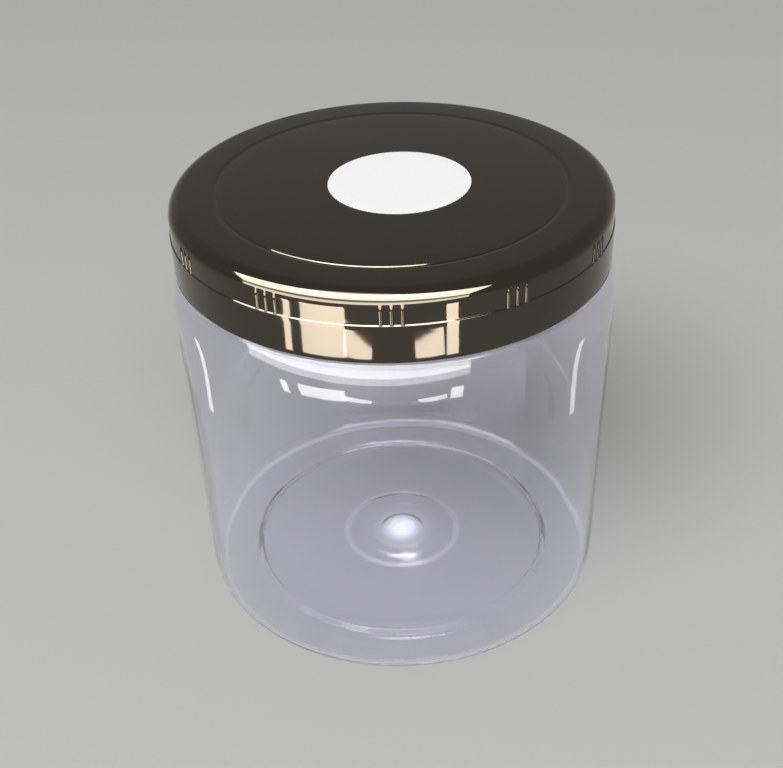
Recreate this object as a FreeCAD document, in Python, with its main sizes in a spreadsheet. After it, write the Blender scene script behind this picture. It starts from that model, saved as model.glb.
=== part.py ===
import FreeCAD, Part
import os

import Sketcher
from FreeCAD import Vector

# Wide-mouth screw jar with a metallised ribbed lid.
# Frame: +Z up, origin at the centre of the base, millimetres.

SIZES = [
    # clear body: one piece with its neck
    ("BodyRadius", 47.55, "outside radius of the wall, just under the shoulder"),
    ("BodyHeight", 80.4, "height of the shoulder's flat top"),
    ("Wall", 1.2, "wall of the body"),
    ("DraftInset", 1.25, "how much narrower the wall is at the base"),
    ("HeelFillet", 3.0, "round from the base to the wall"),
    ("Floor", 1.3, "thickness of the floor"),
    ("FootWidth", 10.7, "width of the ring that the jar stands on, with its heel"),
    ("PushUp", 0.9, "rise of the floor inside the foot ring"),
    ("PushUpSlope", 1.2, "width of the slope between foot ring and raised floor"),
    ("InsertRadius", 13.6, "round step left by the mould's centre insert"),
    ("InsertStep", 0.15, "depth of that step"),
    ("GateRadius", 5.0, "round well around the moulding gate"),
    ("GateDepth", 0.5, "depth of the gate well"),
    ("ShoulderDrop", 4.4, "height of the sloping part of the shoulder"),
    ("ShoulderInset", 1.6, "how far the slope leans in"),
    ("ShoulderBend", 20.0, "largest radius of the bend from wall to slope"),
    ("ShoulderEdge", 1.0, "round between slope and flat shoulder"),
    # neck and its right-hand thread
    ("NeckInset", 4.55, "from the body's wall in to the neck"),
    ("NeckHeight", 12.7, "from the shoulder to the mouth"),
    ("NeckWall", 1.7, "wall of the neck"),
    ("MouthFillet", 0.4, "round of the mouth's edges"),
    ("ThreadPitch", 5.08, "rise of the thread in one turn"),
    ("ThreadStart", 4.0, "middle of the thread's lower end above the shoulder"),
    ("ThreadEnd", 2.35, "middle of the thread's upper end below the mouth"),
    ("ThreadDepth", 1.3, "how far the neck's thread stands out"),
    ("ThreadRoot", 2.6, "height of the neck's thread at its root"),
    ("ThreadCrest", 1.0, "height of the neck's thread at its crest"),
    # lid
    ("SkirtGap", 0.35, "between shoulder and skirt"),
    ("ThreadGap", 0.5, "between the neck's thread and the skirt's bore"),
    ("LidThreadGap", 0.4, "between the lid's thread and the neck"),
    ("LidThreadRoot", 2.0, "height of the lid's thread at its root"),
    ("LidThreadCrest", 0.9, "height of the lid's thread at its crest"),
    ("LidWall", 1.2, "wall of the skirt above the ledge"),
    ("LidPlate", 1.3, "thickness of the lid's top"),
    ("LidFillet", 3.0, "round from the lid's top to its skirt"),
    ("LedgeDrop", 6.6, "from the lid's top down to the ledge"),
    ("LedgeStep", 0.2, "how far the skirt stands out below the ledge"),
    ("SkirtFillet", 0.3, "round of the skirt's lower edge"),
    ("RingInset", 9.7, "from the skirt in to the fine ring on the lid's top"),
    ("RingWidth", 0.5, "width of that ring"),
    ("RingDepth", 0.15, "depth of that ring"),
    ("RibGroups", 12, "groups of ribs round the lid"),
    ("RibTurn", -0.8, "angle of the front group, towards +X"),
    ("RibSpacing", 2.0, "between the ribs of a group"),
    ("RibRadius", 0.3, "radius of a rib's round"),
    ("RibSink", 0.05, "how far a rib's centre lies inside the skirt"),
    # seal and sticker
    ("LinerThickness", 1.0, "thickness of the foam liner"),
    ("LinerGap", 0.4, "between the liner's edge and the skirt"),
    ("LabelRadius", 14.8, "radius of the sticker"),
    ("LabelThickness", 0.15, "thickness of the sticker"),
    ("LabelShiftX", 1.8, "sticker's centre, towards +X"),
    ("LabelShiftY", -0.4, "sticker's centre, towards +Y"),
]

# Places that several pieces share, as expressions on the sheet.
BASE_RADIUS = "(Sizes.BodyRadius - Sizes.DraftInset)"
NECK_RADIUS = "(Sizes.BodyRadius - Sizes.NeckInset)"
BORE_RADIUS = f"({NECK_RADIUS} - Sizes.NeckWall)"
MOUTH = "(Sizes.BodyHeight + Sizes.NeckHeight)"
CEILING = f"({MOUTH} + Sizes.LinerThickness)"
LID_TOP = f"({CEILING} + Sizes.LidPlate)"
LID_BORE = f"({NECK_RADIUS} + Sizes.ThreadDepth + Sizes.ThreadGap)"
LID_RADIUS = f"({LID_BORE} + Sizes.LidWall)"
LEDGE = f"({LID_TOP} - Sizes.LedgeDrop)"
SKIRT_BOTTOM = "(Sizes.BodyHeight + Sizes.SkirtGap)"
THREAD_RISE = "(Sizes.NeckHeight - Sizes.ThreadStart - Sizes.ThreadEnd)"
NECK_THREAD_START = "(Sizes.BodyHeight + Sizes.ThreadStart)"
# The lid's thread runs just under the neck's, as on a tightened lid.
LID_THREAD_START = f"({NECK_THREAD_START} - Sizes.ThreadRoot / 2 - Sizes.LidThreadCrest / 2)"

OVERLAP = 0.3       # how far a thread's root reaches into its wall, so that they join
RIBS_IN_GROUP = (-1, 0, 1)
SAME_PLACE = 1e-4   # two places this near are one


def make_sheet(doc):
    """Driving dimensions: one row each, with name, value and meaning."""
    sheet = doc.addObject("Spreadsheet::Sheet", "Sizes")
    for row, (alias, value, meaning) in enumerate(SIZES, start=1):
        sheet.set(f"A{row}", alias)
        sheet.set(f"B{row}", str(value))
        sheet.set(f"C{row}", meaning)
        sheet.setAlias(f"B{row}", alias)
    doc.recompute()
    return sheet


def value_of(doc, expression):
    return float(doc.Sizes.evalExpression(expression))


def place_of(doc, corner):
    return Vector(value_of(doc, corner[0]), value_of(doc, corner[1]), 0)


def new_body(doc, label):
    body = doc.addObject("PartDesign::Body", label.capitalize())
    body.Label = label
    return body


def new_sketch(body, name, role):
    """A sketch on one of the body's own origin planes."""
    sketch = body.newObject("Sketcher::SketchObject", name)
    plane = [item for item in body.Origin.OriginFeatures if item.Role == role][0]
    sketch.AttachmentSupport = [(plane, "")]
    sketch.MapMode = "FlatFace"
    return sketch


def bind(sketch, kind, target, expression, number):
    """A dimension of the sketch that follows an expression."""
    index = sketch.addConstraint(Sketcher.Constraint(kind, *target, number))
    sketch.setExpression(f"Constraints[{index}]", expression)


def outline(body, name, corners):
    """Closed outline of straight lines on the XZ plane; each corner is (radius, height)."""
    sketch = new_sketch(body, name, "XZ_Plane")
    places = [place_of(body.Document, corner) for corner in corners]
    for start, end in zip(places, places[1:] + places[:1]):
        sketch.addGeometry(Part.LineSegment(start, end), False)
    for index, (radius, height) in enumerate(corners):
        before = (index - 1) % len(corners)
        sketch.addConstraint(Sketcher.Constraint("Coincident", before, 2, index, 1))
        bind(sketch, "DistanceX", (-1, 1, index, 1), radius, places[index].x)
        bind(sketch, "DistanceY", (-1, 1, index, 1), height, places[index].y)
    return sketch


def revolve(body, name, sketch):
    feature = body.newObject("PartDesign::Revolution", name)
    feature.Profile = sketch
    feature.ReferenceAxis = (sketch, ["V_Axis"])
    feature.Angle = 360
    body.Document.recompute()
    return feature


def is_ring(edge, place):
    """Is the edge a circle about Z of this radius at this height?"""
    if not isinstance(edge.Curve, Part.Circle):
        return False
    same_radius = abs(edge.Curve.Radius - place.x) < SAME_PLACE
    return same_radius and abs(edge.Curve.Center.z - place.y) < SAME_PLACE


def round_corners(body, name, base, corners, radius):
    """Round the rings that these corners of an outline became."""
    places = [place_of(body.Document, corner) for corner in corners]
    edges = [
        f"Edge{number}"
        for number, edge in enumerate(base.Shape.Edges, start=1)
        if any(is_ring(edge, place) for place in places)
    ]
    feature = body.newObject("PartDesign::Fillet", name)
    feature.Base = (base, edges)
    feature.setExpression("Radius", radius)
    body.Document.recompute()
    return feature


def add_thread(body, name, root_radius, crest_radius, start, root, crest):
    """Right-hand thread of trapezoid section, from its root to its crest."""
    corners = [
        (root_radius, f"{start} - {root} / 2"),
        (crest_radius, f"{start} - {crest} / 2"),
        (crest_radius, f"{start} + {crest} / 2"),
        (root_radius, f"{start} + {root} / 2"),
    ]
    section = outline(body, f"{name}Section", corners)
    thread = body.newObject("PartDesign::AdditiveHelix", name)
    thread.Profile = section
    thread.ReferenceAxis = (section, ["V_Axis"])
    thread.Mode = "pitch-height-angle"
    thread.LeftHanded = False
    thread.setExpression("Pitch", "Sizes.ThreadPitch")
    thread.setExpression("Height", THREAD_RISE)
    body.Document.recompute()
    return thread


def make_jar(doc):
    """Clear body: raised floor, drafted wall, sloping shoulder and threaded neck."""
    body = new_body(doc, "jar")
    inner_base = f"({BASE_RADIUS} - Sizes.Wall)"
    foot = f"({BASE_RADIUS} - Sizes.FootWidth)"
    raised = f"({foot} - Sizes.PushUpSlope)"
    underside = "(Sizes.PushUp + Sizes.InsertStep)"
    slope_radius = "(Sizes.BodyRadius - Sizes.ShoulderInset)"
    bend_height = "(Sizes.BodyHeight - Sizes.ShoulderDrop)"

    heel = (BASE_RADIUS, "0")
    bend = ("Sizes.BodyRadius", bend_height)
    shoulder = (slope_radius, "Sizes.BodyHeight")
    neck_foot = (NECK_RADIUS, "Sizes.BodyHeight")
    mouth_outside = (NECK_RADIUS, MOUTH)
    mouth_inside = (BORE_RADIUS, MOUTH)
    bore_foot = (BORE_RADIUS, "Sizes.BodyHeight - Sizes.Wall")
    inner_shoulder = (f"{slope_radius} - Sizes.Wall", "Sizes.BodyHeight - Sizes.Wall")
    inner_bend = ("Sizes.BodyRadius - Sizes.Wall", f"{bend_height} - Sizes.Wall")
    inner_heel = (inner_base, "Sizes.Floor")
    corners = [
        ("0", f"{underside} + Sizes.GateDepth"),
        ("Sizes.GateRadius", f"{underside} + Sizes.GateDepth"),
        ("Sizes.GateRadius", underside),
        ("Sizes.InsertRadius", underside),
        ("Sizes.InsertRadius", "Sizes.PushUp"),
        (raised, "Sizes.PushUp"),
        (foot, "0"),
        heel,
        bend,
        shoulder,
        neck_foot,
        mouth_outside,
        mouth_inside,
        bore_foot,
        inner_shoulder,
        inner_bend,
        inner_heel,
        (foot, "Sizes.Floor"),
        (raised, "Sizes.Floor + Sizes.PushUp"),
        ("0", "Sizes.Floor + Sizes.PushUp"),
    ]
    shell = revolve(body, "Shell", outline(body, "ShellOutline", corners))

    # The bend takes up three quarters of the slope at most.
    slope = "hypot(Sizes.ShoulderInset; Sizes.ShoulderDrop)"
    half_turn = "(atan(Sizes.ShoulderInset / Sizes.ShoulderDrop) / 2)"
    largest_bend = f"min(Sizes.ShoulderBend; 0.75 * {slope} / tan({half_turn}))"
    rounds = [
        ("HeelRound", [heel], "Sizes.HeelFillet"),
        ("InnerHeelRound", [inner_heel], "Sizes.HeelFillet - Sizes.Wall"),
        ("BendRound", [bend], largest_bend),
        ("InnerBendRound", [inner_bend], f"{largest_bend} - Sizes.Wall"),
        ("ShoulderRound", [shoulder], "Sizes.ShoulderEdge"),
        ("InnerShoulderRound", [inner_shoulder, bore_foot], "Sizes.ShoulderEdge / 2"),
        ("MouthRound", [mouth_outside, mouth_inside, neck_foot], "Sizes.MouthFillet"),
    ]
    rounded = shell
    for name, places, radius in rounds:
        rounded = round_corners(body, name, rounded, places, radius)

    add_thread(
        body,
        "NeckThread",
        f"{NECK_RADIUS} - {OVERLAP}",
        f"{NECK_RADIUS} + Sizes.ThreadDepth",
        NECK_THREAD_START,
        "Sizes.ThreadRoot",
        "Sizes.ThreadCrest",
    )
    return body


def make_lid(doc):
    """Lid: plate and skirt in one, ledge, fine ring, ribs in groups, inner thread."""
    body = new_body(doc, "lid")
    ring = f"({LID_RADIUS} - Sizes.RingInset)"
    ring_floor = f"{LID_TOP} - Sizes.RingDepth"
    lower_radius = f"({LID_RADIUS} + Sizes.LedgeStep)"

    top_edge = (LID_RADIUS, LID_TOP)
    skirt_edge = (lower_radius, SKIRT_BOTTOM)
    corners = [
        ("0", LID_TOP),
        (f"{ring} - Sizes.RingWidth / 2", LID_TOP),
        (f"{ring} - Sizes.RingWidth / 2", ring_floor),
        (f"{ring} + Sizes.RingWidth / 2", ring_floor),
        (f"{ring} + Sizes.RingWidth / 2", LID_TOP),
        top_edge,
        (LID_RADIUS, LEDGE),
        (lower_radius, LEDGE),
        skirt_edge,
        (LID_BORE, SKIRT_BOTTOM),
        (LID_BORE, CEILING),
        ("0", CEILING),
    ]
    shell = revolve(body, "Cap", outline(body, "CapOutline", corners))
    rounded = round_corners(body, "TopRound", shell, [top_edge], "Sizes.LidFillet")
    round_corners(body, "SkirtRound", rounded, [skirt_edge], "Sizes.SkirtFillet")
    add_ribs(body)
    add_thread(
        body,
        "LidThread",
        f"{LID_BORE} + {OVERLAP}",
        f"{NECK_RADIUS} + Sizes.LidThreadGap",
        LID_THREAD_START,
        "Sizes.LidThreadRoot",
        "Sizes.LidThreadCrest",
    )
    return body


def add_ribs(body):
    """Fine upright ribs from the ledge to the lid's top round, three to a group."""
    doc = body.Document
    sketch = new_sketch(body, "RibSection", "XY_Plane")
    sketch.setExpression("AttachmentOffset.Base.z", LEDGE)
    centre_radius = f"({LID_RADIUS} - Sizes.RibSink)"
    for index, step in enumerate(RIBS_IN_GROUP):
        angle = f"(Sizes.RibTurn + {step} * Sizes.RibSpacing / {LID_RADIUS} * 180 / pi)"
        centre = (f"{centre_radius} * sin({angle})", f"0 - {centre_radius} * cos({angle})")
        place = place_of(doc, centre)
        radius = value_of(doc, "Sizes.RibRadius")
        sketch.addGeometry(Part.Circle(place, Vector(0, 0, 1), radius), False)
        bind(sketch, "DistanceX", (-1, 1, index, 3), centre[0], place.x)
        bind(sketch, "DistanceY", (-1, 1, index, 3), centre[1], place.y)
        bind(sketch, "Radius", (index,), "Sizes.RibRadius", radius)
    group = body.newObject("PartDesign::Pad", "RibGroup")
    group.Profile = sketch
    group.setExpression("Length", "Sizes.LedgeDrop - Sizes.LidFillet")
    doc.recompute()
    ribs = body.newObject("PartDesign::PolarPattern", "Ribs")
    ribs.Originals = [group]
    ribs.Axis = (sketch, ["N_Axis"])
    ribs.Angle = 360
    ribs.setExpression("Occurrences", "Sizes.RibGroups")
    body.Tip = ribs
    doc.recompute()


def make_disc(doc, label, radius, thickness, place):
    """Plain round disc; place holds expressions for the centre of its lower face."""
    disc = doc.addObject("Part::Cylinder", label.capitalize())
    disc.Label = label
    disc.setExpression("Radius", radius)
    disc.setExpression("Height", thickness)
    for axis, expression in zip("xyz", place):
        disc.setExpression(f"Placement.Base.{axis}", expression)
    return disc


def make_liner(doc):
    """Foam liner between the neck's mouth and the lid's plate."""
    radius = f"{LID_BORE} - Sizes.LinerGap"
    return make_disc(doc, "liner", radius, "Sizes.LinerThickness", ("0", "0", MOUTH))


def make_label(doc):
    """Blank round sticker on top of the lid, a little off centre."""
    place = ("Sizes.LabelShiftX", "Sizes.LabelShiftY", LID_TOP)
    return make_disc(doc, "label", "Sizes.LabelRadius", "Sizes.LabelThickness", place)


def check(doc, nodes):
    """Stop if any feature failed or any sub-part isn't one valid solid."""
    for item in doc.Objects:
        if "Invalid" in item.State or "Error" in item.State:
            raise RuntimeError(f"{item.Name} failed: {item.State}")
    for node in nodes:
        shape = node.Shape
        if shape.isNull() or not shape.isValid() or len(shape.Solids) != 1:
            raise RuntimeError(f"{node.Label} isn't one valid solid")


def write_parts(nodes):
    os.makedirs("parts", exist_ok=True)
    for node in nodes:
        node.Shape.exportStep(f"parts/{node.Label}.step")
        box = node.Shape.optimalBoundingBox()
        size = f"{box.XLength:.2f} x {box.YLength:.2f} x {box.ZLength:.2f}"
        print(f"{node.Label}: {node.Shape.Volume:.1f} mm3, {size} mm from z {box.ZMin:.2f}")


def main():
    doc = FreeCAD.newDocument("ScrewJar")
    make_sheet(doc)
    nodes = [make_jar(doc), make_lid(doc), make_liner(doc), make_label(doc)]
    doc.recompute()
    check(doc, nodes)
    write_parts(nodes)


main()
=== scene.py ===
# %% [markdown]
# A salon disinfectant jar: a clear wide-mouth jar with a dark, mirror-bright screw lid and a blank
# white sticker. The fixed frame gives every piece its place and its size. Blender then gives each
# piece a fine mesh and a material that is made like the real one.

# %% Load the frame
import math

import bpy
import numpy as np
from mathutils import Matrix, Vector


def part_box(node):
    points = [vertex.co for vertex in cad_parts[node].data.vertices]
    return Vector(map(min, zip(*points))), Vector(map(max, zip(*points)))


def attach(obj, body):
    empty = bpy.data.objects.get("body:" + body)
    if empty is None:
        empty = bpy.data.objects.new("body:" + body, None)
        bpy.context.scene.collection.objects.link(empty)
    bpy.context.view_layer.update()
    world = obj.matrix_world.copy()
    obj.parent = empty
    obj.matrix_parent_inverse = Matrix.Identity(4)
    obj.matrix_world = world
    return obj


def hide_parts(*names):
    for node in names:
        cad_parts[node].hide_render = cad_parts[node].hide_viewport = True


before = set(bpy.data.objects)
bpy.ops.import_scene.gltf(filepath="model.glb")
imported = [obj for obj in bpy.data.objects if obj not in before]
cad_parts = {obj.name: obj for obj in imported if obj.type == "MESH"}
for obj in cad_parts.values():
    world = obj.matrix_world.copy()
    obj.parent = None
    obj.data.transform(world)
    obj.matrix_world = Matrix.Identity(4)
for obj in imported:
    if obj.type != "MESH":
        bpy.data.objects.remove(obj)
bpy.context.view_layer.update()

print("nodes:", list(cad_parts))

# %% [markdown]
# Moulded pieces are drawn in millimetres, because that is how their maker thinks of them, and each
# mesh is scaled to metres once, when it is made. The heights that pieces share are read from the
# frame, so a piece always meets its neighbour.

# %% Shared places, in millimetres
MM = 0.001


def top_of(node):
    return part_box(node)[1][2] / MM


def foot_of(node):
    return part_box(node)[0][2] / MM


MOUTH = top_of("jar")
SKIRT_FOOT = foot_of("lid")
CEILING = top_of("liner")
LID_TOP = top_of("lid")
STICKER_TOP = top_of("label")
STICKER_MIDDLE = (Vector(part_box("label")[0]) + Vector(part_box("label")[1])) / 2 / MM

BODY_RADIUS = 47.55     # where the lines of wall and slope meet, before the bend is rounded
SHOULDER = 80.4         # top of the flat shoulder
NECK_RADIUS = 43.0
BORE_RADIUS = 41.3      # inside of the neck
LID_RADIUS = 46.0       # skirt above its ledge
LID_BORE = 44.8         # inside of the skirt
print(f"mouth {MOUTH:.2f}, skirt {SKIRT_FOOT:.2f}, lid top {LID_TOP:.2f} mm")

# %% [markdown]
# Everything here is turned or moulded round one axis, so one tool makes every mesh: an outline of
# radius and height is carried round the axis. A Screw or Spin modifier could do that too, but it
# can't add a thread or ribs to the same skin. Here each ring of points may move in or out, so
# thread and ribs grow out of the wall, and the mesh stays one closed skin, as a moulding is.

# %% Outline with rounded corners
ARC_STEP = math.radians(8)


def rounded_outline(corners):
    """Corners are (radius, height, round, longest step after it); returns points in order."""
    places = [Vector(corner[:2]) for corner in corners]
    points = []
    for index, (place, corner) in enumerate(zip(places, corners)):
        if index in (0, len(corners) - 1) or corner[2] == 0:
            arc = [place]
        else:
            arc = corner_arc(places[index - 1], place, places[index + 1], corner[2])
        if points:
            points += between(points[-1], arc[0], corners[index - 1][3])
        points += arc
    return points


def corner_arc(before, corner, after, radius):
    """Points of the round that blends the two lines at a corner."""
    back = (before - corner).normalized()
    ahead = (after - corner).normalized()
    half_gap = back.angle(ahead) / 2
    middle = corner + (back + ahead).normalized() * radius / math.sin(half_gap)
    start = corner + back * radius / math.tan(half_gap) - middle
    end = corner + ahead * radius / math.tan(half_gap) - middle
    sweep = math.copysign(math.pi - 2 * half_gap, start.x * end.y - start.y * end.x)
    steps = max(3, round(abs(sweep) / ARC_STEP))
    turned = [Matrix.Rotation(sweep * k / steps, 2) @ start for k in range(steps + 1)]
    return [middle + spoke for spoke in turned]


def between(start, end, longest):
    """Points that cut a long straight stretch into steps."""
    steps = max(1, math.ceil((end - start).length / longest))
    return [start.lerp(end, k / steps) for k in range(1, steps)]


# %% [markdown]
# The outline now goes round the axis. Its first and last points lie on the axis, and each of them
# closes its end with a fan of triangles. The faces are made in one go from lists of point numbers,
# which is quicker than bmesh, and a sum over the faces tells whether they look outward.

# %% Carry an outline round the axis
def lathe(name, outline, angles, shift=None, middle=(0, 0)):
    """Closed mesh of an outline that starts and ends on the axis; shift moves points in or out."""
    inner = outline[1:-1]
    rings = []
    for place in inner:
        radius = np.full(len(angles), place.x)
        if shift is not None:
            radius = radius + shift(place, angles)
        rings.append(np.stack(
            [radius * np.sin(angles), -radius * np.cos(angles), np.full(len(angles), place.y)],
            axis=1,
        ))
    ends = np.array([[0, 0, outline[0].y], [0, 0, outline[-1].y]])
    points = np.concatenate(rings + [ends]) + np.array([middle[0], middle[1], 0])
    faces = ring_faces(len(inner), len(angles))
    mesh = bpy.data.meshes.new(name)
    mesh.from_pydata((points * MM).tolist(), [], faces)
    mesh.validate()
    mesh.shade_smooth()
    mesh.set_sharp_from_angle(angle=math.radians(40))
    piece = bpy.data.objects.new(name, mesh)
    bpy.context.collection.objects.link(piece)
    face_outward(mesh)
    print(f"{name}: {len(mesh.vertices)} points, {len(mesh.polygons)} faces")
    return piece


def ring_faces(rings, count):
    """Faces between neighbouring rings, and fans that close both ends on the axis."""
    first_end, last_end = rings * count, rings * count + 1
    faces = []
    for ring in range(rings - 1):
        low, high = ring * count, (ring + 1) * count
        for k in range(count):
            after = (k + 1) % count
            faces.append((low + k, high + k, high + after, low + after))
    top = (rings - 1) * count
    for k in range(count):
        after = (k + 1) % count
        faces.append((first_end, k, after))
        faces.append((last_end, top + after, top + k))
    return faces


def face_outward(mesh):
    """Turn every face if the closed mesh came out inside out."""
    volume = sum(face.center.dot(face.normal) * face.area for face in mesh.polygons)
    if volume < 0:
        mesh.flip_normals()


EVEN = np.linspace(0, 2 * math.pi, 360, endpoint=False)

# %% [markdown]
# The jar and its lid share one screw thread: single start, right-handed, five turns to the inch.
# The ridge is a trapezoid with soft flanks. Its height at a point depends only on how far that
# point lies from the middle of the ridge, which climbs by one pitch in each turn.

# %% The screw thread
PITCH = 5.08
THREAD_TURNS = 1.25
THREAD_STANDS = 1.3     # how far the neck's ridge stands out
NECK_RIDGE = (2.6, 1.0)     # height of the ridge at its root and at its crest
LID_RIDGE = (2.0, 0.9)
LID_RIDGE_CLEAR = 0.4   # room between the lid's ridge and the neck
NECK_THREAD_FOOT = SHOULDER + 4.0
LID_THREAD_FOOT = NECK_THREAD_FOOT - (NECK_RIDGE[0] + LID_RIDGE[1]) / 2
RUN_OUT = 0.04          # share of a turn in which the ridge fades at each end
QUARTER = math.pi / 2   # both threads start at this angle


def soft_step(value):
    value = np.clip(value, 0, 1)
    return value * value * (3 - 2 * value)


def thread_height(height, angles, foot, widths):
    """How high the ridge stands at each angle, from 0 to 1; widths are at its root and crest."""
    root, crest = widths
    ridge = np.zeros(len(angles))
    for turn in range(-1, 3):
        turns = (angles - QUARTER) / (2 * math.pi) + turn
        away = np.abs(height - foot - PITCH * turns)
        flank = soft_step((root / 2 - away) / (root / 2 - crest / 2))
        ends = soft_step(np.minimum(turns, THREAD_TURNS - turns) / RUN_OUT)
        ridge = np.maximum(ridge, flank * ends)
    return ridge


# %% [markdown]
# The clear jar is one moulding with a wall of little more than a millimetre. It stands on a foot
# ring, its floor is raised inside that ring, its wall leans out slightly so that it leaves the
# mould, and the shoulder slopes in to a threaded neck. Both skins are modelled, inside and out,
# because clear plastic shows its edges only where light bends in a real thickness. A real wall is
# never quite even, so the inner skin wanders by a few hundredths of a millimetre.

# %% Outline of the clear jar
WALL = 1.2
HEEL_RADIUS = 46.3
BEND = 76.0             # where the wall turns into the slope
BEND_ROUND = 20
SLOPE_RADIUS = BODY_RADIUS - 1.6
LONG, MEDIUM, FINE = 4.0, 1.0, 0.35     # longest steps along straight stretches

jar_outline = rounded_outline([
    # Under the floor: gate well, insert step, raised floor, foot ring.
    (0, 1.55, 0, LONG),
    (4.6, 1.55, 2.0, MEDIUM),
    (5.8, 1.05, 2.0, LONG),
    (13.3, 1.05, 0.5, LONG),
    (14.0, 0.9, 0.5, LONG),
    (34.4, 0.9, 0.6, LONG),
    (35.6, 0, 0.6, LONG),
    # Outside, from the heel up to the mouth.
    (HEEL_RADIUS, 0, 3.0, LONG),
    (BODY_RADIUS, BEND, BEND_ROUND, LONG),
    (SLOPE_RADIUS, SHOULDER, 1.0, MEDIUM),
    (NECK_RADIUS, SHOULDER, 0.4, FINE),
    (NECK_RADIUS, MOUTH, 0.4, MEDIUM),
    # Inside, from the mouth down to the middle of the floor.
    (BORE_RADIUS, MOUTH, 0.4, MEDIUM),
    (BORE_RADIUS, SHOULDER - WALL, 0.5, MEDIUM),
    (SLOPE_RADIUS - WALL, SHOULDER - WALL, 0.5, MEDIUM),
    (BODY_RADIUS - WALL, BEND - WALL, BEND_ROUND - WALL, LONG),
    (HEEL_RADIUS - WALL, 1.3, 1.8, LONG),
    (36.5, 2.2, 3.0, LONG),
    (34.4, 2.45, 0.3, LONG),
    (34.0, 1.9, 0.3, LONG),
    (5.6, 1.9, 12.0, MEDIUM),
    (3.2, 2.35, 12.0, MEDIUM),
    (0, 2.4, 0, MEDIUM),
])
print("points in the jar's outline:", len(jar_outline))

# %% Clear jar
NEAR = 0.01             # a point this close to a wall's line is on it
WANDER = 0.05           # how far the inner skin strays
WANDER_FROM, WANDER_TO = 5, 72      # heights between which it strays
WANDER_FADE = 12        # height over which that comes in and goes out
BETWEEN_SKINS = 46.15   # wall points outside this radius stay true


def jar_shift(place, angles):
    """Thread on the neck, and a gentle wander of the inner skin."""
    if abs(place.x - NECK_RADIUS) < NEAR:
        return THREAD_STANDS * thread_height(place.y, angles, NECK_THREAD_FOOT, NECK_RIDGE)
    if place.x >= BETWEEN_SKINS or not WANDER_FROM < place.y < WANDER_TO:
        return np.zeros(len(angles))
    from_end = min(place.y - WANDER_FROM, WANDER_TO - place.y)
    fade = float(soft_step(from_end / WANDER_FADE))
    waves = 0.5 * np.sin(5 * angles + 0.4) + 0.3 * np.sin(9 * angles + 1.9 + 0.02 * place.y)
    waves += 0.2 * np.sin(17 * angles + 0.7)
    return WANDER * fade * waves


clear_jar = lathe("clear_jar", jar_outline, EVEN, jar_shift)

# %% [markdown]
# The lid is a plastic cap that was vacuum metallised, so its skin is a thin film of metal on a
# smooth moulding. Twelve groups of three fine ribs give a grip. They stand on a ledge no higher
# than a fingernail's edge, and that ledge catches a thin line of light. The ribs are narrow, so
# the mesh has many points just there and few between.

# %% Angles round the lid
RIB_GROUPS = 12
RIB_TURN = math.radians(-0.8)       # angle of the front group
RIB_STEP = 2.0 / LID_RADIUS         # from rib to rib
RIB_HALF = 0.36                     # half of a rib's width
RIB_EDGES = np.array([-1.3, -1.0, -0.88, -0.5, 0, 0.5, 0.88, 1.0, 1.3])
WIDEST_STEP = math.radians(1.5)

rib_angles = np.array([
    RIB_TURN + 2 * math.pi * group / RIB_GROUPS + RIB_STEP * rib
    for group in range(RIB_GROUPS)
    for rib in (-1, 0, 1)
])


def lid_angles():
    """Angles round the lid: close together on each rib, wider between them."""
    near = (rib_angles[:, None] + RIB_EDGES * RIB_HALF / LID_RADIUS).ravel()
    near = np.sort(near % (2 * math.pi))
    gaps = np.diff(np.append(near, near[0] + 2 * math.pi))
    filled = []
    for start, gap in zip(near, gaps):
        parts = math.ceil(gap / WIDEST_STEP)
        filled += [start + gap * k / parts for k in range(parts)]
    return np.sort(np.array(filled) % (2 * math.pi))


print("ribs:", len(rib_angles), "angles round the lid:", len(lid_angles()))

# %% Metallised lid
RIB_STANDS = 0.25
LEDGE = LID_TOP - 6.6
LEDGE_STANDS = 0.2
RIB_TOP = LID_TOP - 2.9
ON_SKIRT = LID_RADIUS - 0.05        # points beyond this radius lie on the skirt's outside


def lid_shift(place, angles):
    """Ribs on the upper skirt, thread inside."""
    if abs(place.x - LID_BORE) < NEAR:
        stands = LID_BORE - NECK_RADIUS - LID_RIDGE_CLEAR
        return -stands * thread_height(place.y, angles, LID_THREAD_FOOT, LID_RIDGE)
    if place.x < ON_SKIRT or not LEDGE < place.y < RIB_TOP:
        return np.zeros(len(angles))
    turn = (angles[:, None] - rib_angles + math.pi) % (2 * math.pi) - math.pi
    across = np.abs(turn).min(axis=1) * LID_RADIUS / RIB_HALF
    end = min(1.0, (RIB_TOP - place.y) / RIB_HALF)
    dome = 1 - across ** 2 - (1 - end) ** 2
    return RIB_STANDS * np.sqrt(np.clip(dome, 0, 1))


lid_outline = rounded_outline([
    (0, LID_TOP, 0, LONG),
    # The fine ring in the top is a shallow groove.
    (36.1, LID_TOP, 0.06, MEDIUM),
    (36.25, LID_TOP - 0.17, 0.06, MEDIUM),
    (37.3, LID_TOP, 0.5, LONG),
    (LID_RADIUS, LID_TOP, 3.0, FINE),
    (LID_RADIUS, LEDGE + 0.1, 0.05, MEDIUM),
    (LID_RADIUS + LEDGE_STANDS, LEDGE - 0.1, 0.1, MEDIUM),
    (LID_RADIUS + LEDGE_STANDS, SKIRT_FOOT, 0.3, MEDIUM),
    (LID_BORE, SKIRT_FOOT, 0.3, FINE),
    (LID_BORE, CEILING, 0.2, LONG),
    (0, CEILING, 0, LONG),
])
metallised_lid = lathe("metallised_lid", lid_outline, lid_angles(), lid_shift)

# %% [markdown]
# A disc of foamed plastic in the lid seals the mouth, and a blank round sticker lies on top, a
# little off centre because it was put on by hand. Both are flat discs with softened edges.

# %% Liner and sticker
LINER_RADIUS = 44.4
STICKER_RADIUS = 14.8

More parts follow.
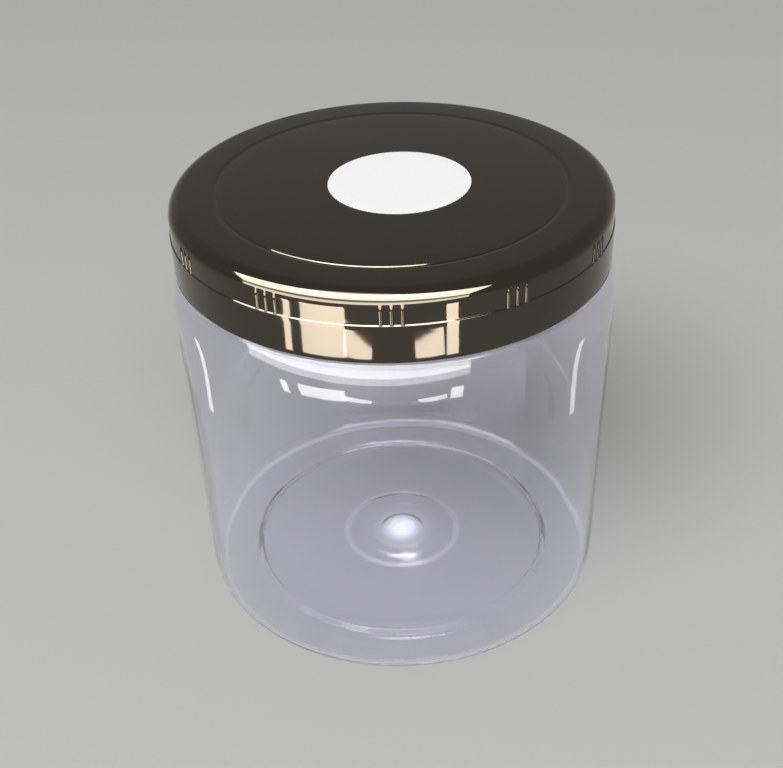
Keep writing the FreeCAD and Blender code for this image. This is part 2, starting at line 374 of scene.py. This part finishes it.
liner_outline = rounded_outline([
    (0, MOUTH, 0, LONG),
    (LINER_RADIUS, MOUTH, 0.3, MEDIUM),
    (LINER_RADIUS, CEILING, 0.3, LONG),
    (0, CEILING, 0, LONG),
])
foam_liner = lathe("foam_liner", liner_outline, EVEN[::2])

sticker_outline = rounded_outline([
    (0, LID_TOP, 0, LONG),
    (STICKER_RADIUS, LID_TOP, 0.05, MEDIUM),
    (STICKER_RADIUS, STICKER_TOP, 0.05, LONG),
    (0, STICKER_TOP, 0, LONG),
])
sticker_middle = (STICKER_MIDDLE.x, STICKER_MIDDLE.y)
paper_sticker = lathe("paper_sticker", sticker_outline, EVEN[::2], middle=sticker_middle)

# %% [markdown]
# Each new piece takes the place of its plain solid and moves with that solid's body. The liner and
# the lid rise together as the lid is unscrewed.

# %% Join the pieces to the frame
for piece, body, node, slot in [
    (clear_jar, "jar", "jar", "clear_plastic"),
    (metallised_lid, "lid", "lid", "metallised_plastic"),
    (foam_liner, "seal", "liner", "foam"),
    (paper_sticker, "lid", "label", "sticker"),
]:
    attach(piece, body)
    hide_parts(node)
    print(piece.name, "rides on", body)

# %% [markdown]
# Colours are written as sRGB hex values, as a paint or plastic maker gives them, and one function
# turns them into the linear numbers that the renderer adds up. One more function adds a node with
# its settings and links, which keeps each material short enough to read.

# %% Colour and node helpers
def linear(hex_colour):
    """sRGB hex such as #C8C9C6 as a linear colour with alpha."""
    parts = [int(hex_colour[k:k + 2], 16) / 255 for k in (1, 3, 5)]
    bent = [p / 12.92 if p <= 0.04045 else ((p + 0.055) / 1.055) ** 2.4 for p in parts]
    return (*bent, 1.0)


def add_node(tree, kind, settings=None, links=None):
    """A node with its settings; links maps an input's name or number to what feeds it."""
    node = tree.nodes.new(kind)
    for name, value in (settings or {}).items():
        if isinstance(name, int) or name in node.inputs:
            node.inputs[name].default_value = value
        else:
            setattr(node, name, value)
    for name, output in (links or {}).items():
        tree.links.new(output, node.inputs[name])
    return node


def new_material(name):
    """An empty node material with its output and the object's own coordinates."""
    material = bpy.data.materials.new(name)
    material.use_nodes = True
    tree = material.node_tree
    tree.nodes.clear()
    output = add_node(tree, "ShaderNodeOutputMaterial")
    coordinates = add_node(tree, "ShaderNodeTexCoord")
    return material, tree, output, coordinates.outputs["Object"]


def dress(piece, material, *nodes):
    """Give a piece, and the plain solids that it stands for, one material."""
    for target in [piece, *[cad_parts[node] for node in nodes]]:
        target.data.materials.clear()
        target.data.materials.append(material)
    print(piece.name, "is made of", material.name)


# %% [markdown]
# The jar is PET, the plastic of clear bottles: it lets nearly all light through, bends it more
# than glass does (IOR 1.57) and has a faint blue-violet cast from the toner that hides its natural
# yellow. Its skin copies a polished mould, so it is very smooth, with long shallow waves where the
# hot plastic flowed.
#
# The middle of the floor is where the plastic came in. It cooled slowly there and turned milky, and
# so did the ring round the mould's insert. The outer edge of the foot is finely scuffed where the
# jar slides on a desk. These whitish places are set stronger than haze and scuffs alone, so they are
# also a painted glow in the middle, a painted highlight on the ring and a painted highlight on the
# heel. A painted mask could show this, but distances from the axis and the desk need no mask and
# stay sharp at any size.

# %% Milky, worn and glow-painted places in the PET
# Milkiness here is partly real haze and partly a painted glow: the whitish middle and the ring at
# 13.3 to 13.9 mm stand in for light shining in the floor.
HAZE_AND_GLOW_REACH = 16 * MM
HAZE_AND_GLOW = (                            # share of the reach, milkiness
    (0.0, 0.34),
    (0.16, 0.22),
    (0.32, 0.05),
    (0.5, 0.008),
    (0.78, 0.0),
    (0.83, 0.03),
    (0.87, 0.03),
    (0.92, 0.0),
)
# The foot's edge turns whiter: partly scuffing, partly a painted highlight along the heel.
FOOT_WEAR_AND_HIGHLIGHT = 0.12


def milkiness_and_glow(tree, place):
    """How milky the plastic is, partly real haze and partly a painted glow: by its distance from the
    axis, and where the foot is worn and a highlight is painted.
    """
    flat = add_node(
        tree, "ShaderNodeVectorMath", {"operation": "MULTIPLY", 1: (1, 1, 0)}, {0: place}
    )
    away = add_node(
        tree, "ShaderNodeVectorMath", {"operation": "LENGTH"}, {0: flat.outputs["Vector"]}
    ).outputs["Value"]
    share = add_node(tree, "ShaderNodeMath", {"operation": "DIVIDE", 1: HAZE_AND_GLOW_REACH}, {0: away})
    haze_and_glow = add_node(tree, "ShaderNodeValToRGB", {}, {"Fac": share.outputs["Value"]})
    ramp = haze_and_glow.color_ramp.elements
    while len(ramp) < len(HAZE_AND_GLOW):
        ramp.new(0.5)
    for stop, (spot, level) in zip(ramp, HAZE_AND_GLOW):
        stop.position = spot
        stop.color = (level, level, level, 1)
    # Wear, with a painted highlight on the heel, starts 43.2 mm from the axis and reaches up to 1 mm
    # above the desk.
    outward = add_node(
        tree,
        "ShaderNodeMapRange",
        {"From Min": 43.2 * MM, "From Max": 44.4 * MM, "To Max": FOOT_WEAR_AND_HIGHLIGHT},
        {"Value": away},
    )
    height = add_node(tree, "ShaderNodeSeparateXYZ", {}, {"Vector": place})
    downward = add_node(
        tree,
        "ShaderNodeMapRange",
        {"From Min": 1.0 * MM, "From Max": 0.4 * MM},
        {"Value": height.outputs["Z"]},
    )
    wear_haze_and_glow = add_node(
        tree,
        "ShaderNodeMath",
        {"operation": "MULTIPLY_ADD"},
        {0: outward.outputs["Result"], 1: downward.outputs["Result"], 2: haze_and_glow.outputs["Color"]},
    )
    return wear_haze_and_glow.outputs["Value"]


print("milkiest at the middle of the floor:", HAZE_AND_GLOW[0][1])

# %% [markdown]
# The plastic itself is one Principled shader with full transmission, less wherever it is milky and
# where a glow is painted.

# %% Clear PET
def make_pet():
    material, tree, output, place = new_material("clear_PET")
    # Moulding draws the waves out upwards, so the noise is squeezed along the height.
    stretched = add_node(
        tree, "ShaderNodeMapping", {"Scale": (1.0, 1.0, 0.12)}, {"Vector": place}
    )
    # Flow waves are about 12 mm apart round the wall.
    waves = add_node(
        tree,
        "ShaderNodeTexNoise",
        {"Scale": 1 / (12 * MM), "Detail": 2.0, "Roughness": 0.4},
        {"Vector": stretched.outputs["Vector"]},
    )
    bump = add_node(
        tree,
        "ShaderNodeBump",
        {"Strength": 0.25, "Distance": 0.15 * MM},
        {"Height": waves.outputs["Fac"]},
    )
    gloss = add_node(
        tree,
        "ShaderNodeMapRange",
        {"From Min": 0.3, "From Max": 0.7, "To Min": 0.01, "To Max": 0.04},
        {"Value": waves.outputs["Fac"]},
    )
    milky_and_glow = milkiness_and_glow(tree, place)
    # Milky plastic is rougher too, and so are the places with a painted glow.
    rough = add_node(
        tree,
        "ShaderNodeMath",
        {"operation": "MULTIPLY_ADD", 1: 1.5},
        {0: milky_and_glow, 2: gloss.outputs["Result"]},
    )
    clear = add_node(tree, "ShaderNodeMath", {"operation": "SUBTRACT", 0: 1.0}, {1: milky_and_glow})
    plastic = add_node(
        tree,
        "ShaderNodeBsdfPrincipled",
        {"Base Color": linear("#F6F5FD"), "IOR": 1.57},
        {
            "Normal": bump.outputs["Normal"],
            "Roughness": rough.outputs["Value"],
            "Transmission Weight": clear.outputs["Value"],
        },
    )
    straight = add_node(tree, "ShaderNodeBsdfTransparent", {"Color": linear("#FCFCFE")})
    path = add_node(tree, "ShaderNodeLightPath")
    surface = plastic.outputs["BSDF"]
    for ray in ("Is Diffuse Ray", "Is Shadow Ray"):
        mix = add_node(
            tree,
            "ShaderNodeMixShader",
            {},
            {0: path.outputs[ray], 1: surface, 2: straight.outputs["BSDF"]},
        )
        surface = mix.outputs["Shader"]
    tree.links.new(surface, output.inputs["Surface"])
    return material


dress(clear_jar, make_pet(), "jar")

# %% [markdown]
# Vacuum metallising boils aluminium onto a lacquered moulding, and a tinted top lacquer turns the
# silver film to a smoky bronze gunmetal. The eye sees a dark mirror: a metal with a low, warm
# reflection and almost no roughness, with the very slight ripple of lacquer that flowed out.

# %% Smoked metallised plastic
def make_metallised():
    material, tree, output, place = new_material("smoked_metallised_plastic")
    # Lacquer ripples are about 5 mm apart and far finer than a hair in height.
    ripple = add_node(
        tree,
        "ShaderNodeTexNoise",
        {"Scale": 1 / (5 * MM), "Detail": 2.0},
        {"Vector": place},
    )
    bump = add_node(
        tree,
        "ShaderNodeBump",
        {"Strength": 0.06, "Distance": 0.1 * MM},
        {"Height": ripple.outputs["Fac"]},
    )
    # Handling dulls the lacquer a little, in patches about 18 mm across.
    rub = add_node(
        tree,
        "ShaderNodeTexNoise",
        {"Scale": 1 / (18 * MM), "Detail": 6.0, "Roughness": 0.7},
        {"Vector": place},
    )
    gloss = add_node(
        tree,
        "ShaderNodeMapRange",
        {"From Min": 0.35, "From Max": 0.75, "To Min": 0.03, "To Max": 0.09},
        {"Value": rub.outputs["Fac"]},
    )
    metal = add_node(
        tree,
        "ShaderNodeBsdfPrincipled",
        {"Base Color": linear("#564F45"), "Metallic": 1.0},
        {"Normal": bump.outputs["Normal"], "Roughness": gloss.outputs["Result"]},
    )
    tree.links.new(metal.outputs["BSDF"], output.inputs["Surface"])
    return material


dress(metallised_lid, make_metallised(), "lid")

# %% [markdown]
# The metal film lands only on the outside, because the caps sit on pegs in the vacuum chamber. The
# inside shows the bare moulding: black polypropylene, with the satin skin of a spark-eroded
# mould. It is a second material on the same mesh, given to the faces that look inward.

# %% Black polypropylene
def make_black_inside():
    material, tree, output, place = new_material("black_polypropylene")
    # Real grains are a few hundredths of a millimetre. They are drawn 0.3 mm wide so that they show.
    grain = add_node(
        tree, "ShaderNodeTexNoise", {"Scale": 1 / (0.3 * MM), "Detail": 3.0}, {"Vector": place}
    )
    bump = add_node(
        tree,
        "ShaderNodeBump",
        {"Strength": 0.3, "Distance": 0.01 * MM},
        {"Height": grain.outputs["Fac"]},
    )
    satin = add_node(
        tree,
        "ShaderNodeMapRange",
        {"From Min": 0.3, "From Max": 0.7, "To Min": 0.32, "To Max": 0.42},
        {"Value": grain.outputs["Fac"]},
    )
    plastic = add_node(
        tree,
        "ShaderNodeBsdfPrincipled",
        {"Base Color": linear("#1E1D1C"), "IOR": 1.49},
        {"Normal": bump.outputs["Normal"], "Roughness": satin.outputs["Result"]},
    )
    tree.links.new(plastic.outputs["BSDF"], output.inputs["Surface"])
    return material


FILM_EDGE = 0.05        # the film ends this far past the bore and the ceiling
metallised_lid.data.materials.append(make_black_inside())
inward = 0
for face in metallised_lid.data.polygons:
    radius = math.hypot(face.center.x, face.center.y) / MM
    if radius < LID_BORE + FILM_EDGE and face.center.z / MM < CEILING + FILM_EDGE:
        face.material_index = 1
        inward += 1
print("bare plastic faces inside the lid:", inward)

# %% [markdown]
# The liner is foamed polyethylene: white, dull and finely celled. The sticker is coated paper,
# whose clay coating makes it very white and nearly smooth, with only a trace of fibre.

# %% Foam and coated paper
def make_foam():
    material, tree, output, place = new_material("foamed_polyethylene")
    # Cells are about 0.4 mm across.
    cells = add_node(
        tree, "ShaderNodeTexVoronoi", {"Scale": 1 / (0.4 * MM)}, {"Vector": place}
    )
    bump = add_node(
        tree,
        "ShaderNodeBump",
        {"Strength": 0.5, "Distance": 0.08 * MM},
        {"Height": cells.outputs["Distance"]},
    )
    foam = add_node(
        tree,
        "ShaderNodeBsdfPrincipled",
        {"Base Color": linear("#E9E9E4"), "Roughness": 0.8, "IOR": 1.5},
        {"Normal": bump.outputs["Normal"]},
    )
    tree.links.new(foam.outputs["BSDF"], output.inputs["Surface"])
    return material


def make_paper():
    material, tree, output, place = new_material("coated_paper")
    # Real fibres are a tenth as wide. They are drawn 0.25 mm apart so that they show.
    fibres = add_node(
        tree,
        "ShaderNodeTexNoise",
        {"Scale": 1 / (0.25 * MM), "Detail": 4.0, "Roughness": 0.6},
        {"Vector": place},
    )
    bump = add_node(
        tree,
        "ShaderNodeBump",
        {"Strength": 0.25, "Distance": 0.02 * MM},
        {"Height": fibres.outputs["Fac"]},
    )
    shade = add_node(tree, "ShaderNodeValToRGB", links={"Fac": fibres.outputs["Fac"]})
    shade.color_ramp.elements[0].color = linear("#F4F4F3")
    shade.color_ramp.elements[1].color = linear("#FDFDFD")
    paper = add_node(
        tree,
        "ShaderNodeBsdfPrincipled",
        {"Roughness": 0.55, "IOR": 1.5},
        {"Base Color": shade.outputs["Color"], "Normal": bump.outputs["Normal"]},
    )
    tree.links.new(paper.outputs["BSDF"], output.inputs["Surface"])
    return material


dress(foam_liner, make_foam(), "liner")
dress(paper_sticker, make_paper(), "label")

# %% [markdown]
# The jar stands on a plain sweep of pale paper. The sweep is wide enough to fill the view and to
# give the mirror lid something calm to reflect.

# %% Floor
FLOOR_HALF = 2.5
floor_mesh = bpy.data.meshes.new("floor")
floor_mesh.from_pydata(
    [(x * FLOOR_HALF, y * FLOOR_HALF, 0) for x, y in ((-1, -1), (1, -1), (1, 1), (-1, 1))],
    [],
    [(0, 1, 2, 3)],
)
floor = bpy.data.objects.new("floor", floor_mesh)
bpy.context.collection.objects.link(floor)

paper_sweep, sweep_tree, sweep_output, _ = new_material("pale_sweep")
sweep = add_node(
    sweep_tree,
    "ShaderNodeBsdfPrincipled",
    {"Base Color": linear("#BDBEBB"), "Roughness": 0.85, "IOR": 1.4},
)
sweep_tree.links.new(sweep.outputs["BSDF"], sweep_output.inputs["Surface"])
floor_mesh.materials.append(paper_sweep)
print("the floor reaches", FLOOR_HALF, "m each way")

# %% [markdown]
# Everything is placed as seen from the lid: an angle round from the front and a height above the
# horizon. One function makes every area lamp. Its brightness is what the lamp's face shows, where 1
# is white, so lamps of different sizes can be compared. Light linking can limit a lamp to a
# collection of pieces.

# %% Places and lamps
LID_MIDDLE = (0, 0, 0.09)


def around(azimuth, elevation, distance):
    """Place seen from the lid at an angle from the front (towards +X) and above the horizon."""
    turn, rise = math.radians(azimuth), math.radians(elevation)
    flat = distance * math.cos(rise)
    return (
        flat * math.sin(turn),
        -flat * math.cos(turn),
        LID_MIDDLE[2] + distance * math.sin(rise),
    )


def soft_lamp(name, place, target, size, brightness, only=None, roll=0, spread=180):
    """Area lamp that faces its target; only is the collection that it lights, or None for all."""
    data = bpy.data.lights.new(name, "AREA")
    data.shape = "ELLIPSE" if size[0] == size[1] else "RECTANGLE"
    data.size, data.size_y = size
    data.energy = brightness * math.pi * size[0] * size[1]
    data.spread = math.radians(spread)
    lamp = bpy.data.objects.new(name, data)
    lamp.location = place
    facing = (Vector(target) - Vector(place)).to_track_quat("-Z", "Y").to_matrix()
    lamp.rotation_euler = (facing @ Matrix.Rotation(math.radians(roll), 3, "Z")).to_euler()
    lamp.visible_camera = False
    bpy.context.collection.objects.link(lamp)
    lamp.light_linking.receiver_collection = only
    return lamp


def group_of(name, *pieces):
    """A collection that lamps can be limited to."""
    group = bpy.data.collections.new(name)
    for piece in pieces:
        group.objects.link(piece)
    return group


glossy_pieces = group_of("glossy_pieces", clear_jar, metallised_lid)
clear_pieces = group_of("clear_pieces", clear_jar)
lid_pieces = group_of("lid_pieces", metallised_lid)
print("groups:", [group.name for group in bpy.data.collections])

# %% [markdown]
# Three sources light the whole scene at a plain level, so that a colour renders about as it is
# written: a pale world, a wide soft window in front and above, and a broad daylight that keeps
# shadows soft.

# %% Plain soft light for everything
world = bpy.data.worlds.new("studio")
bpy.context.scene.world = world
world.use_nodes = True
background = world.node_tree.nodes["Background"]
background.inputs["Color"].default_value = linear("#FFFFFF")
background.inputs["Strength"].default_value = 0.34

soft_lamp("window", around(-14, 50, 1.0), LID_MIDDLE, size=(1.25, 0.36), brightness=4.2)

daylight_data = bpy.data.lights.new("daylight", "SUN")
daylight_data.angle = math.radians(40)
daylight_data.energy = 1.1
daylight = bpy.data.objects.new("daylight", daylight_data)
daylight.rotation_euler = (-Vector(around(-30, 52, 1.0))).to_track_quat("-Z", "Y").to_euler()
bpy.context.collection.objects.link(daylight)
print("lamps for everything: window, daylight")

# %% [markdown]
# Clear and mirror-bright things are known by what they reflect, and clear plastic reflects only one
# part in twenty, so what it mirrors must be far brighter than white paper. These lamps are there
# only to be reflected, and light linking keeps them off the floor and the sticker. A taller window
# in three parts draws the white line on the lid's round edge and on the shoulder. The lid mirrors
# more than the jar, so each has its own copy. A small lamp behind shines in the jar's floor.

# %% A tall window to be reflected
WALL_AWAY = 0.8
WINDOW_WIDTH = 2.2
WINDOW_TURN = -20
WINDOW_PARTS = (                # name, lowest and highest angle, brightness for lid, for jar
    ("sky", 24, 64, 12, 5),
    ("street", 10, 24, 1.5, 1.5),
    ("sill", -6, 10, 8, 6.5),
)
soft_lamp("behind", (0, 0.72, 0.64), (0, 0, 0), (0.05, 0.05), brightness=40, only=clear_pieces)
for name, low, high, for_lid, for_jar in WINDOW_PARTS:
    size = (WINDOW_WIDTH, 2 * WALL_AWAY * math.tan(math.radians(high - low) / 2))
    place = around(WINDOW_TURN, (low + high) / 2, WALL_AWAY)
    soft_lamp(f"{name}_for_lid", place, LID_MIDDLE, size, for_lid, only=lid_pieces)
    soft_lamp(f"{name}_for_jar", place, LID_MIDDLE, size, for_jar, only=clear_pieces)
print("window parts:", [part[0] for part in WINDOW_PARTS])

# %% [markdown]
# The upright skirt looks down at the table in front, so low panels stand there like the panes of a
# window. They stand on the table, close to the jar. Two narrow strips at the sides draw streaks on
# the wall. A narrow spread keeps their light from spilling, and they don't shine through the
# plastic.

# %% Low panes and side strips to be reflected
NARROW = 110
PANE_AWAY, STRIP_AWAY = 0.165, 0.11
PANES = (                       # name, azimuth, width, height, roll
    ("edge", -48, 0.009, 0.030, 0),
    ("left", -31.5, 0.058, 0.030, 0),
    ("left_slope", -16.5, 0.034, 0.012, -16),
    ("right_slope", 14.5, 0.036, 0.012, 9),
    ("right", 24.5, 0.015, 0.030, 0),
)
STRIPS = (("right", 85), ("left", -96))     # name, azimuth
STRIP_SIZE = (0.007, 0.036)


def on_table(name, azimuth, away, size, brightness, only, roll=0):
    """A narrow lamp that stands on the table and faces the jar."""
    turn, middle = math.radians(azimuth), size[1] / 2
    place = (away * math.sin(turn), -away * math.cos(turn), middle)
    lamp = soft_lamp(name, place, (0, 0, middle), size, brightness, only, roll, NARROW)
    lamp.visible_transmission = False


for name, azimuth, width, height, roll in PANES:
    on_table(f"pane_{name}", azimuth, PANE_AWAY, (width, height), 5.2, glossy_pieces, roll)
for name, azimuth in STRIPS:
    on_table(f"strip_{name}", azimuth, STRIP_AWAY, STRIP_SIZE, 2.2, clear_pieces)

# %% [markdown]
# The camera looks down at the jar from in front, at about the angle of someone standing at a
# salon desk. A moderately long lens keeps the sides nearly parallel. It leans a little, as one held
# in the hand does, so its own three axes are given, not a target to look at.

# %% Camera and colour
SENSOR_WIDTH = 36.0
LENS = 56.65
CAMERA_PLACE = (0, -0.23337, 0.20425)
LOOKS_ALONG = Vector((-0.00473, 0.82562, -0.56421))
SIDEWAYS = Vector((0.99944, -0.01473, -0.02994))

camera_data = bpy.data.cameras.new("camera")
camera_data.sensor_width = SENSOR_WIDTH
camera_data.lens = LENS
camera_data.clip_start = 0.01
camera = bpy.data.objects.new("camera", camera_data)
bpy.context.collection.objects.link(camera)
forward = LOOKS_ALONG.normalized()
right = SIDEWAYS.normalized()
up = right.cross(forward).normalized()
camera_axes = Matrix((right, up, -forward)).transposed()
camera.matrix_world = Matrix.Translation(CAMERA_PLACE) @ camera_axes.to_4x4()
bpy.context.scene.camera = camera
bpy.context.scene.view_settings.view_transform = "Standard"
print("camera looks down", round(math.degrees(math.asin(-forward.z)), 1), "degrees")
